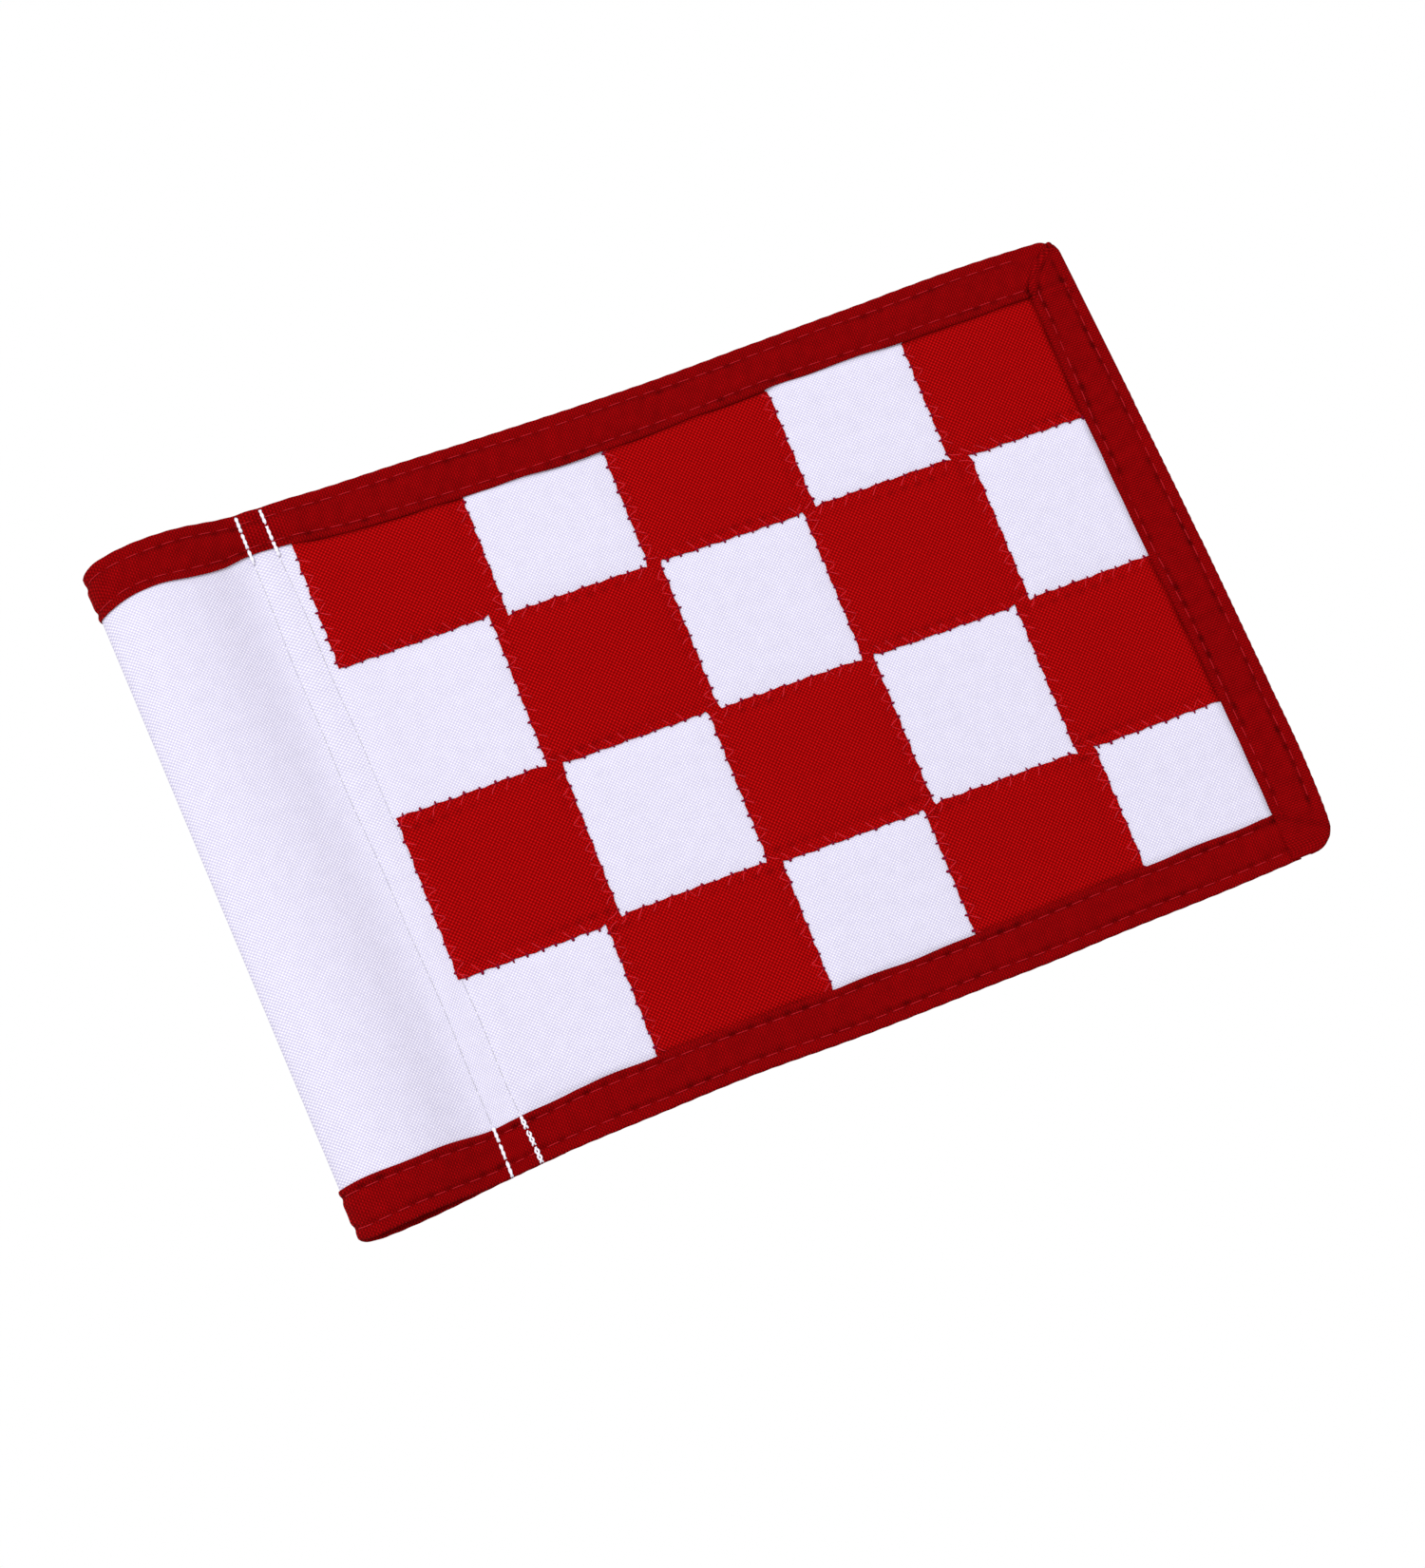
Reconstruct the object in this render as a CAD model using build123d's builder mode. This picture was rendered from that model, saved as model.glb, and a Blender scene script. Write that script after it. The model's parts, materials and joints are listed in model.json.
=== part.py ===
"""A small checkered golf pin flag for a practice-green stick: a sewn cloth field with a pole sleeve.

The flag hangs upright. +Z runs up along the sleeve, +X from the sleeve to the fly edge, and the
front faces -Y. The origin is on the stick's axis, in the plane of the sleeve's lower mouth.
The cloth bends about upright lines: one beside the sleeve's seam and one between each two columns
of the checker. Each strip between two bending lines is a body of its own.
"""

import os
from math import asin, atan2, cos, degrees, radians, sin, tan

from build123d import *

os.makedirs("parts", exist_ok=True)

# ---------------------------------------------------------------- driving dimensions, millimetres
STICK_DIAMETER = 12.7  # the thickest stick that slides in without stretching the cloth
STICK_CLEARANCE = 0.3  # radial, between the stick and the mouth bindings
HOIST_HEIGHT = 152.0  # along the sleeve
FLY_RISE = 5.5  # how far the lower edge climbs from the sleeve to the fly
SLEEVE_WIDTH = 34.5  # from the fold to the first seam row, laid flat
FOLD_REACH = 10.0  # from the stick's axis to the outside of the fold
FOLD_RADIUS = 2.2  # inside the fold
SEAM_ROW_SPACING = 5.5  # between the two rows that close the sleeve
CUSP_TO_SEAM = 1.2  # from where the sleeve's walls meet to the first seam row
ALLOWANCE_REACH = 9.0  # the sleeve's turned-back cloth, past the second seam row

COLUMN_COUNT = 5
ROW_COUNT = 4
COLUMN_PITCH = 36.0
ROW_PITCH = 34.5
TOP_MARGIN = 5.0  # from the upper edge to the checker's first line, under the binding
FLY_MARGIN = 5.0  # from the checker's last line to the fly edge, under the binding
RED_GROWTH = 0.3  # the red cloth laps over each checker line by this much
RED_HOIST_GAP = 0.5  # from the first bending line's gap to the red cloth
WINDOW_LAP = 3.0  # red and white overlap, where they are sewn together

CLOTH = 0.35  # thickness of the white and the red cloth
TAPE = 0.45  # thickness of the binding tape
BINDING_WIDTH = 10.5  # upper and lower edges
FLY_BINDING_WIDTH = 9.5
CORNER_RADIUS_TOP = 3.0
CORNER_RADIUS_BOTTOM = 4.0

HINGE_GAP = 1.0  # between two bodies, along a bending line
SEAM_TO_HINGE = 1.8  # from the second seam row to the first bending line

THREAD = 0.25
STITCH_LENGTH = 3.0
BINDING_STITCH_PITCH = 4.0
SEAM_STITCH_PITCH = 4.5
STITCH_EDGE_ROW = 2.4  # from a binding's outer edge to its first row
STITCH_INNER_ROW = 1.8  # from a binding's inner edge to its second row
STITCH_END_MARGIN = 1.0
ZIGZAG_PITCH = 2.5
ZIGZAG_BITE = 1.8  # how far the zigzag reaches into the red
ZIGZAG_ANGLE = 50.0

# ---------------------------------------------------------------- worked out from the above
pocket_radius = STICK_DIAMETER / 2 + STICK_CLEARANCE + TAPE
fold_centre_x = -(FOLD_REACH - TAPE - CLOTH - FOLD_RADIUS)
seam_1_x = SLEEVE_WIDTH - FOLD_REACH
seam_2_x = seam_1_x + SEAM_ROW_SPACING
cusp_x = seam_1_x - CUSP_TO_SEAM
taper = asin(pocket_radius / cusp_x)  # half the angle at which the sleeve's walls meet

fly_x = seam_2_x + COLUMN_COUNT * COLUMN_PITCH + FLY_MARGIN
line_x = [seam_2_x + k * COLUMN_PITCH for k in range(COLUMN_COUNT + 1)]
line_z = [HOIST_HEIGHT - TOP_MARGIN - j * ROW_PITCH for j in range(ROW_COUNT + 1)]
hinge_x = [seam_2_x + SEAM_TO_HINGE] + line_x[1:COLUMN_COUNT]
root_end_x = hinge_x[0] - HINGE_GAP / 2

slope = FLY_RISE / (fly_x - root_end_x)
slope_degrees = degrees(atan2(FLY_RISE, fly_x - root_end_x))
binding_rows = (STITCH_EDGE_ROW, BINDING_WIDTH - STITCH_INNER_ROW)
fly_rows = (STITCH_EDGE_ROW, FLY_BINDING_WIDTH - STITCH_INNER_ROW)

# Depths: the white cloth is in front of the sleeve's back layer, and the red in front of the white.
white_front = -CLOTH
red_front = -2 * CLOTH


def lower_edge(x):
    """Height of the flag's lower edge at x: level under the sleeve, then climbing to the fly."""
    return max(0.0, (x - root_end_x) * slope)


def strip(column):
    """Where a column's body starts and ends along X."""
    start = hinge_x[column - 1] + HINGE_GAP / 2
    if column == COLUMN_COUNT:
        return start, fly_x
    return start, hinge_x[column] - HINGE_GAP / 2


def back_depth(column):
    """The back of the cloth: the first column also has the sleeve's turned-back allowance."""
    return CLOTH if column == 1 else 0.0


def is_red(row, column):
    return (row + column) % 2 == 0


def teardrop(extra):
    """The sleeve's section grown by extra: a small fold, the stick's round, and walls to the seam."""
    with BuildSketch() as section:
        with BuildLine():
            CenterArc((fold_centre_x, 0), FOLD_RADIUS + extra, 0, 360)
            CenterArc((0, 0), pocket_radius + extra, 0, 360)
            Line((0, 0), (cusp_x + extra / sin(taper), 0))
        make_hull()
    return section.sketch


def seam_layers(half_depth):
    """The flat part of the sleeve's section, from the seam to the first bending line."""
    width = root_end_x - cusp_x
    with BuildSketch() as section:
        with Locations((cusp_x + width / 2, 0)):
            Rectangle(width, 2 * half_depth)
    return section.sketch


def band(start, end, inset, width, depth):
    """Outline of a strip along the lower edge, its outer side inset from the edge."""
    with BuildSketch(Plane.XZ.offset(-depth)) as outline:
        with BuildLine():
            Polyline(
                (start, lower_edge(start) + inset),
                (end, lower_edge(end) + inset),
                (end, lower_edge(end) + width),
                (start, lower_edge(start) + width),
                close=True,
            )
        make_face()
    return outline.sketch


def field(start, end, inset, depth):
    """Outline of one column's cloth, inset from the flag's outer edges."""
    at_fly = end == fly_x
    right = end - inset if at_fly else end
    with BuildSketch(Plane.XZ.offset(-depth)) as outline:
        with BuildLine():
            Polyline(
                (start, lower_edge(start) + inset),
                (right, lower_edge(right) + inset),
                (right, HOIST_HEIGHT - inset),
                (start, HOIST_HEIGHT - inset),
                close=True,
            )
        make_face()
        if at_fly:
            low_corner = outline.vertices().group_by(Axis.X)[-1].sort_by(Axis.Y)[0]
            fillet(low_corner, CORNER_RADIUS_BOTTOM - inset)
            high_corner = outline.vertices().group_by(Axis.Y)[-1].sort_by(Axis.X)[-1]
            fillet(high_corner, CORNER_RADIUS_TOP - inset)
    return outline.sketch


def dashes(length, pitch):
    """Places of evenly pitched stitches along a run, measured from its middle."""
    count = int(length / pitch)
    return [(i - (count - 1) / 2) * pitch for i in range(count)]


def finish(builder, name):
    builder.part.label = name
    export_step(builder.part, f"parts/{name}.step")


# ---------------------------------------------------------------- the pole sleeve
with BuildPart() as sleeve_cloth:
    with BuildSketch(Plane.XY.offset(TAPE)):
        add(teardrop(CLOTH))
        add(seam_layers(CLOTH))
        add(teardrop(0), mode=Mode.SUBTRACT)
    extrude(amount=HOIST_HEIGHT - 2 * TAPE)
finish(sleeve_cloth, "sleeve_cloth")

# Each mouth is bound with folded tape, which lies outside and inside the sleeve's wall.
mouths = {
    "sleeve_bottom_binding": (0.0, TAPE),
    "sleeve_top_binding": (HOIST_HEIGHT - BINDING_WIDTH, HOIST_HEIGHT - BINDING_WIDTH),
}
for mouth_name, (base, wall_base) in mouths.items():
    with BuildPart() as mouth_binding:
        with BuildSketch(Plane.XY.offset(base)):
            add(teardrop(CLOTH + TAPE))
            add(seam_layers(CLOTH + TAPE))
            add(teardrop(-TAPE), mode=Mode.SUBTRACT)
        extrude(amount=BINDING_WIDTH)
        with BuildSketch(Plane.XY.offset(wall_base)):
            add(teardrop(CLOTH))
            add(seam_layers(CLOTH))
            add(teardrop(0), mode=Mode.SUBTRACT)
        extrude(amount=BINDING_WIDTH - TAPE, mode=Mode.SUBTRACT)
    finish(mouth_binding, mouth_name)

# Two rows of white lockstitch close the sleeve. They show on both faces, and cross the bindings.
field_height = HOIST_HEIGHT - 2 * BINDING_WIDTH
seam_stretches = (
    (BINDING_WIDTH / 2, BINDING_WIDTH, CLOTH + TAPE),
    (HOIST_HEIGHT / 2, field_height, CLOTH),
    (HOIST_HEIGHT - BINDING_WIDTH / 2, BINDING_WIDTH, CLOTH + TAPE),
)
for row_number, row_x in ((1, seam_1_x), (2, seam_2_x)):
    with BuildPart() as seam_row:
        for middle, length, face_depth in seam_stretches:
            for depth in (-face_depth - THREAD / 2, face_depth + THREAD / 2):
                heights = [middle + z for z in dashes(length, SEAM_STITCH_PITCH)]
                with Locations([(row_x, depth, z) for z in heights]):
                    Box(THREAD, THREAD, STITCH_LENGTH)
    finish(seam_row, f"seam_stitch_row_{row_number}")

# The mouth bindings' stitches follow the sleeve's straight walls, front and back.
wall_radius = pocket_radius + CLOTH + TAPE + THREAD / 2
wall_length = wall_radius / tan(taper) - SEAM_ROW_SPACING
mouth_rows = {
    "sleeve_bottom_binding_stitches": binding_rows,
    "sleeve_top_binding_stitches": [HOIST_HEIGHT - row for row in binding_rows],
}
for stitches_name, heights in mouth_rows.items():
    with BuildPart() as mouth_stitches:
        for side in (-1, 1):
            turn = -side * degrees(taper)
            for height in heights:
                wall_start = (wall_radius * sin(taper), side * wall_radius * cos(taper), height)
                with Locations(Location(wall_start, (0, 0, turn))):
                    places = dashes(wall_length, BINDING_STITCH_PITCH)
                    with Locations([(wall_length / 2 + x, 0, 0) for x in places]):
                        Box(STITCH_LENGTH, THREAD, THREAD)
    finish(mouth_stitches, stitches_name)

# ---------------------------------------------------------------- the field, column by column
for column in range(1, COLUMN_COUNT + 1):
    start, end = strip(column)
    back = back_depth(column)
    at_fly = column == COLUMN_COUNT
    seen_end = fly_x - FLY_BINDING_WIDTH if at_fly else end
    seen_low = lower_edge(start) + BINDING_WIDTH
    seen_high = HOIST_HEIGHT - BINDING_WIDTH
    full_depth = back - red_front + 2 * TAPE

    # The red cloth lies on the white cloth and runs under the bindings.
    red_spans = {}
    for row in range(1, ROW_COUNT + 1):
        if is_red(row, column):
            low = 0.0 if row == ROW_COUNT else line_z[row] - RED_GROWTH
            high = HOIST_HEIGHT if row == 1 else line_z[row - 1] + RED_GROWTH
            red_spans[row] = (low, high)
    red_left = start + RED_HOIST_GAP if column == 1 else start
    for row, (low, high) in red_spans.items():
        with BuildPart() as red_square:
            extrude(field(start, end, TAPE, white_front), amount=CLOTH)
            with Locations(((red_left + end) / 2, white_front - CLOTH / 2, (low + high) / 2)):
                Box(end - red_left, CLOTH, high - low, mode=Mode.INTERSECT)
        finish(red_square, f"red_square_r{row}_c{column}")

    # The white cloth is cut away behind each red square, so that the checker shows on both faces.
    with BuildPart() as white_cloth:
        extrude(field(start, end, TAPE, 0.0), amount=CLOTH)
        for low, high in red_spans.values():
            window_low = max(low, seen_low) + WINDOW_LAP
            window_high = min(high, seen_high) - WINDOW_LAP
            window_left = red_left + WINDOW_LAP
            window_right = seen_end - WINDOW_LAP
            middle = ((window_left + window_right) / 2, -CLOTH / 2, (window_low + window_high) / 2)
            with Locations(middle):
                Box(
                    window_right - window_left,
                    CLOTH,
                    window_high - window_low,
                    mode=Mode.SUBTRACT,
                )
    finish(white_cloth, f"white_cloth_c{column}")

    # Folded tape binds the upper and lower edges. At the fly it ends against the fly's own tape.
    with BuildPart() as top_binding:
        top_middle = HOIST_HEIGHT - BINDING_WIDTH / 2
        with Locations(((start + seen_end) / 2, (red_front + back) / 2, top_middle)):
            Box(seen_end - start, full_depth, BINDING_WIDTH)
        with Locations(((start + seen_end) / 2, (red_front + back) / 2, top_middle - TAPE)):
            Box(seen_end - start, full_depth - 2 * TAPE, BINDING_WIDTH, mode=Mode.SUBTRACT)
    finish(top_binding, f"top_binding_c{column}")

    with BuildPart() as bottom_binding:
        extrude(band(start, seen_end, 0.0, BINDING_WIDTH, back + TAPE), amount=full_depth)
        extrude(
            band(start, seen_end, TAPE, BINDING_WIDTH, back),
            amount=full_depth - 2 * TAPE,
            mode=Mode.SUBTRACT,
        )
    finish(bottom_binding, f"bottom_binding_c{column}")

    # Each binding is held by two rows of lockstitch, through both of its leaves.
    with BuildPart() as binding_stitches:
        middle_x = (start + seen_end) / 2
        places = dashes(seen_end - start - 2 * STITCH_END_MARGIN, BINDING_STITCH_PITCH)
        for depth in (red_front - TAPE - THREAD / 2, back + TAPE + THREAD / 2):
            for row_height in binding_rows:
                top_row = Location((middle_x, depth, HOIST_HEIGHT - row_height))
                bottom_z = lower_edge(middle_x) + row_height
                bottom_row = Location((middle_x, depth, bottom_z), (0, -slope_degrees, 0))
                with Locations(top_row, bottom_row):
                    with Locations([(x, 0, 0) for x in places]):
                        Box(STITCH_LENGTH, THREAD, THREAD)
    finish(binding_stitches, f"binding_stitches_c{column}")

    # A zigzag holds the red cloth's edges. It lies on the red, with its outer points at the edge.
    leg_length = ZIGZAG_BITE / sin(radians(ZIGZAG_ANGLE)) - THREAD
    leg_depth = red_front - THREAD / 2
    with BuildPart() as zigzag:
        for low, high in red_spans.values():
            edge_low = max(low, seen_low)
            edge_high = min(high, seen_high)
            along_x = dashes(seen_end - red_left - 2 * ZIGZAG_BITE, ZIGZAG_PITCH)
            along_z = dashes(edge_high - edge_low - 2 * ZIGZAG_BITE, ZIGZAG_PITCH)
            middle_x = (red_left + seen_end) / 2
            middle_z = (edge_low + edge_high) / 2
            for z in (low + ZIGZAG_BITE / 2, high - ZIGZAG_BITE / 2):
                if edge_low < z < edge_high:
                    with Locations([(middle_x + x, leg_depth, z) for x in along_x]):
                        Box(leg_length, THREAD, THREAD, rotation=(0, ZIGZAG_ANGLE, 0))
            for x in (red_left + ZIGZAG_BITE / 2, seen_end - ZIGZAG_BITE / 2):
                with Locations([(x, leg_depth, middle_z + z) for z in along_z]):
                    Box(THREAD, THREAD, leg_length, rotation=(0, ZIGZAG_ANGLE, 0))
    finish(zigzag, f"zigzag_stitches_c{column}")

# The sleeve's turned-back cloth ends behind the first column, past the second seam row.
with BuildPart() as seam_allowance:
    start, end = strip(1)
    allowance_end = seam_2_x + ALLOWANCE_REACH
    extrude(field(start, end, TAPE, CLOTH), amount=CLOTH)
    with Locations(((start + allowance_end) / 2, CLOTH / 2, HOIST_HEIGHT / 2)):
        Box(allowance_end - start, CLOTH, HOIST_HEIGHT, mode=Mode.INTERSECT)
finish(seam_allowance, "seam_allowance")

# ---------------------------------------------------------------- the fly edge
fly_start = fly_x - FLY_BINDING_WIDTH
fly_depth = -red_front + 2 * TAPE
with BuildPart() as fly_binding:
    extrude(field(fly_start, fly_x, 0.0, TAPE), amount=fly_depth)
    extrude(field(fly_start, fly_x, TAPE, 0.0), amount=-red_front, mode=Mode.SUBTRACT)
finish(fly_binding, "fly_binding")

with BuildPart() as fly_stitches:
    fly_low = lower_edge(fly_x) + CORNER_RADIUS_BOTTOM
    fly_high = HOIST_HEIGHT - CORNER_RADIUS_TOP
    places = dashes(fly_high - fly_low, BINDING_STITCH_PITCH)
    for depth in (red_front - TAPE - THREAD / 2, TAPE + THREAD / 2):
        for row_inset in fly_rows:
            heights = [(fly_low + fly_high) / 2 + z for z in places]
            with Locations([(fly_x - row_inset, depth, z) for z in heights]):
                Box(THREAD, THREAD, STITCH_LENGTH)
finish(fly_stitches, "fly_binding_stitches")
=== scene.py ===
import json
import math

import bpy
import numpy as np
from mathutils import Matrix, Vector


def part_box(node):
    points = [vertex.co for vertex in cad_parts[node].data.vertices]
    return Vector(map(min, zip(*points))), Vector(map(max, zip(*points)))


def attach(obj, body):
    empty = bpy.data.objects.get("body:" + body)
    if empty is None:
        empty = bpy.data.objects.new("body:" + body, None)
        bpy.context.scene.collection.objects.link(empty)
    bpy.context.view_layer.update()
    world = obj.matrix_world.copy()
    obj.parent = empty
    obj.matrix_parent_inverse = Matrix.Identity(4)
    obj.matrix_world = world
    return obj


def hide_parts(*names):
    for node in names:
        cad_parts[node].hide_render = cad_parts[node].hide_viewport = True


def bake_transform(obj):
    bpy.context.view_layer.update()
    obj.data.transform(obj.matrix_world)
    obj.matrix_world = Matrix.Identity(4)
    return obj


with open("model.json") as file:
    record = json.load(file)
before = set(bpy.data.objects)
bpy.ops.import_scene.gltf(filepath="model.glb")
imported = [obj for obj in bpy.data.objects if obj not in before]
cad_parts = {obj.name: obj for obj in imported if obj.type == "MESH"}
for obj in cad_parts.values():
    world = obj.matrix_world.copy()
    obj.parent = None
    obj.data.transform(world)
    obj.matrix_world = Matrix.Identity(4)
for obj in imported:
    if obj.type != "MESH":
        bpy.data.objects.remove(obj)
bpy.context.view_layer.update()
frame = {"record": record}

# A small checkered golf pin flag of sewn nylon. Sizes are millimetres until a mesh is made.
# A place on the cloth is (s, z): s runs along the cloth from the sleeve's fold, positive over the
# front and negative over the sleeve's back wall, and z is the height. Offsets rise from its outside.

MM = 0.001


def mm_box(node):
    low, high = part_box(node)
    return np.array(low) / MM, np.array(high) / MM


COLUMNS, ROWS = 5, 4  # of the checker; each column is a body, and so is the sleeve
BODIES = ["sleeve"] + [f"column_{k + 1}" for k in range(COLUMNS)]

# -------- sizes read from the frame
RED_TRIM = 1.8  # the trimmed red cloth reaches this much nearer the seam than the CAD squares
MOUTH_TAPE = 0.8  # the cloth lies this far inside the taped mouth's outer face
CAD_RED_LAP = 0.3  # how far the CAD squares lap over the checker's level lines
mouth_low, mouth_high = mm_box("sleeve_bottom_binding")
HEIGHT = mm_box("sleeve_top_binding")[1][2]
BINDING = mouth_high[2] - mouth_low[2]
FOLD_X = mouth_low[0]
WALL_DEPTH = mouth_high[1] - MOUTH_TAPE
FLY_X = mm_box("fly_binding")[1][0]
FLY_BINDING = FLY_X - mm_box("fly_binding")[0][0]
TOP_INNER, FLY_INNER = HEIGHT - BINDING, FLY_X - FLY_BINDING  # the tapes' inner edges in CAD
ROW_1_X, ROW_2_X = [sum(mm_box(f"seam_stitch_row_{k}"))[0] / 2 for k in (1, 2)]
RED_LEFT_X = mm_box("red_square_r1_c1")[0][0] - RED_TRIM
ALLOWANCE_X = mm_box("seam_allowance")[1][0]
JOINTS = frame["record"]["behaviour"]["joints"]
HINGES = [joint["pos_m"][0] / MM for joint in JOINTS]
LINE_Z = [  # the checker's level lines, from the top
    mm_box("red_square_r2_c2")[1][2] - CAD_RED_LAP,
    mm_box("red_square_r2_c2")[0][2] + CAD_RED_LAP,
    mm_box("red_square_r3_c1")[0][2] + CAD_RED_LAP,
]
LINE_X = [ROW_2_X] + HINGES[1:]  # its upright lines, from the seam
MIDS = [(a + b) / 2 for a, b in zip(HINGES, HINGES[1:])]  # where two zones of the cloth meet

# -------- sizes of the cloth itself
CLOTH = 0.28
TAPE = 0.32
RED_OFFSET = 0.30  # the red cloth's middle, in front of the white cloth's
LAP_X = 1.4  # how far the red cloth laps over the checker's upright lines
LAP_Z = 0.3  # and over its level lines
SEWN = 2.9  # red and white lie on each other this far from the red's edge
CUSP = 0.9  # from where the sleeve's walls meet to the first seam row
EDGE_INSET = 0.9  # the cloth stops this far inside the tape's fold
FRONT_LEAF = 0.34  # the folded tape's leaves, from the white cloth's middle
BACK_LEAF = 0.33
BAND_LEAF = 0.36  # how much a band lifts the fly tape that lies over it
OUTER_ROW = 2.4  # the tape's rows of stitches, in from its fold and from its inner edge
INNER_ROW = 1.7
BINDING_PITCH = 4.1
BINDING_GAP = 0.9  # from one stitch to the next, where the thread is out of sight
SEAM_PITCH = 3.75
SEAM_GAP = 0.12
ZIGZAG_PITCH = 3.2
ZIGZAG_BITE = 2.3  # how far the zigzag reaches in from the red cloth's edge
THREAD = 0.12  # radius of the thread in the rows
LEG = 0.095  # radius of the zigzag's legs, in front and behind
LEG_BEHIND = 0.10
LOOP = 0.26  # radius of the zigzag's loops over the red cloth's edge
LOW_CORNER = 5.0  # radius of the flag's rounded corners at the fly
HIGH_CORNER = 3.6
DEEPEST_DIP = 0.22  # a leaf of tape sinks no further, or the cloth inside would show through

# The meshes' grid: its spacing, and where it is finer.
GRID = 0.62
NARROW_GRID = 0.6 * GRID  # along the tapes' inner edges
FOLD_GRID = 0.3
FOLD_REACH = 3.0  # from the sleeve's fold


def smooth(x, low, high):
    """From 0 at low to 1 at high."""
    t = np.clip((np.asarray(x, float) - low) / (high - low), 0, 1)
    return t * t * (3 - 2 * t)


def pulse(x, middle, width):
    """From 1 at the middle to 0 on both sides."""
    return np.exp(-(((np.asarray(x, float) - middle) / width) ** 2))


# -------- the flag's true outline
# The sleeve was sewn a little askew and the edges wander, as hand-guided sewing does.
def curve(x, places, values):
    """A smooth curve through a few places."""
    places, values = np.array(places, float), np.array(values, float)
    slopes = np.gradient(values, places)
    x = np.clip(np.asarray(x, float), places[0], places[-1])
    i = np.clip(np.searchsorted(places, x) - 1, 0, len(places) - 2)
    width = places[i + 1] - places[i]
    t = (x - places[i]) / width
    rise = (2 * t ** 3 - 3 * t ** 2 + 1) * values[i] + (3 * t ** 2 - 2 * t ** 3) * values[i + 1]
    return rise + width * ((t ** 3 - 2 * t ** 2 + t) * slopes[i] + (t ** 3 - t ** 2) * slopes[i + 1])


def fold_x(z):
    return FOLD_X + 3.6 - 5.9 * z / HEIGHT


def row_1_x(z):
    return ROW_1_X + 2.7 * np.tanh((66 - z) / 48)


def row_2_x(z):
    return ROW_2_X + 2.7 - 5.5 * z / HEIGHT + 0.5 * np.sin(math.pi * np.clip(z / HEIGHT, 0, 1))


def cusp_x(z):
    return row_1_x(z) - CUSP


def fly_x(z):
    return FLY_X + curve(z, [5, 12, 25, 45, 90, 120, 145, 152],
                         [3.4, 4.0, 4.3, 3.6, 1.9, 0.4, -0.9, -1.3])


def fly_inner_x(z):
    """The fly tape's inner edge, turned aside to the corner where the tape's end is folded under."""
    folded_end = 9.5 * (np.clip(z - HEIGHT + 11, 0, 11) / 11) ** 2.4
    return FLY_INNER + 0.4 + 2.3 * np.tanh((65 - z) / 35) + folded_end


def top_z(x):
    wander = curve(x, [-12, 0, 20, 45, 75, 115, 140, 165, 195, 210],
                   [-1.4, -0.4, 0.2, -0.4, -1.05, -0.8, 0.1, 0.8, 1.6, 1.4])
    return HEIGHT + wander - 0.9 * np.exp(-np.clip(x - FOLD_X + 2.3, 0, 99) / 1.2)


def bottom_z(x):
    wander = curve(x, [-10, 5, 15, 25, 35, 60, 80, 105, 135, 150, 165, 195, 215],
                   [-1.4, -0.7, -0.1, 0.55, 1.35, 2.25, 2.85, 2.5, 2.9, 3.1, 3.7, 4.4, 5.2])
    return wander + 1.0 * np.exp(-np.clip(x - FOLD_X - 3.6, 0, 99) / 1.2)


FLY_RISE = float(bottom_z(FLY_X))  # how far the lower edge has risen at the fly
TOP_BAND_END = float(fly_x(HEIGHT)) - 0.9


def top_inner_z(x):
    return TOP_INNER + curve(
        x, [-12, -6, 0, 8, 15, 21, 27, 45, 75, 95, 120, 150, 170, 215],
        [-1.9, -0.5, -0.2, -0.5, 0.0, 1.1, 1.2, -0.7, -1.75, -2.0, -0.9, 0.3, 0.3, 1.0])


def bottom_inner_z(x):
    return BINDING + curve(x, [-10, 5, 15, 27, 36, 45, 60, 105, 135, 180, 215],
                           [-0.3, 0.2, 0.5, 0.7, 1.3, 2.25, 2.85, 3.0, 3.3, 4.6, 5.3])


# -------- the cloth's surface
S_CUSP = ROW_1_X - CUSP - FOLD_X
S_RED = RED_LEFT_X - FOLD_X


def x_of(s, z):
    """Where s lies along X. Up to the red cloth's edge it follows the askew seam."""
    s = np.abs(s)
    wall = fold_x(z) + s / S_CUSP * (cusp_x(z) - fold_x(z))
    seam = cusp_x(z) + (s - S_CUSP) / (S_RED - S_CUSP) * (RED_LEFT_X - cusp_x(z))
    return np.where(s < S_CUSP, wall, np.where(s < S_RED, seam, s + FOLD_X))


def s_of(x):
    """s of a place on the front that lies past the seam."""
    return np.asarray(x, float) - FOLD_X


def pillow(x, z):
    """Each cell of the checker stands up a little between its sewn edges."""
    lines_x = [RED_LEFT_X] + LINE_X[1:] + [FLY_INNER + 2]
    lines_z = [TOP_INNER + 1] + LINE_Z + [BINDING + 2]
    height = np.zeros(np.broadcast(x, z).shape)
    for column, (left, right) in enumerate(zip(lines_x, lines_x[1:])):
        for row, (high, low) in enumerate(zip(lines_z, lines_z[1:])):
            margin_x, margin_z = (0.6, 1.6) if (column + row) % 2 == 0 else (LAP_X, LAP_Z)
            across = np.clip((x - left - margin_x) / (right - left - 2 * margin_x), 0, 1)
            up = np.clip((z - low - margin_z) / (high - low - 2 * margin_z), 0, 1)
            full = 0.50 + 0.14 * math.sin(5.1 * row + 2.3 * column)
            edge_x = 1 - np.abs(2 * across - 1) ** 6
            edge_z = 1 - np.abs(2 * up - 1) ** 6
            height = height + full * edge_x * edge_z
    return height


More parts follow.
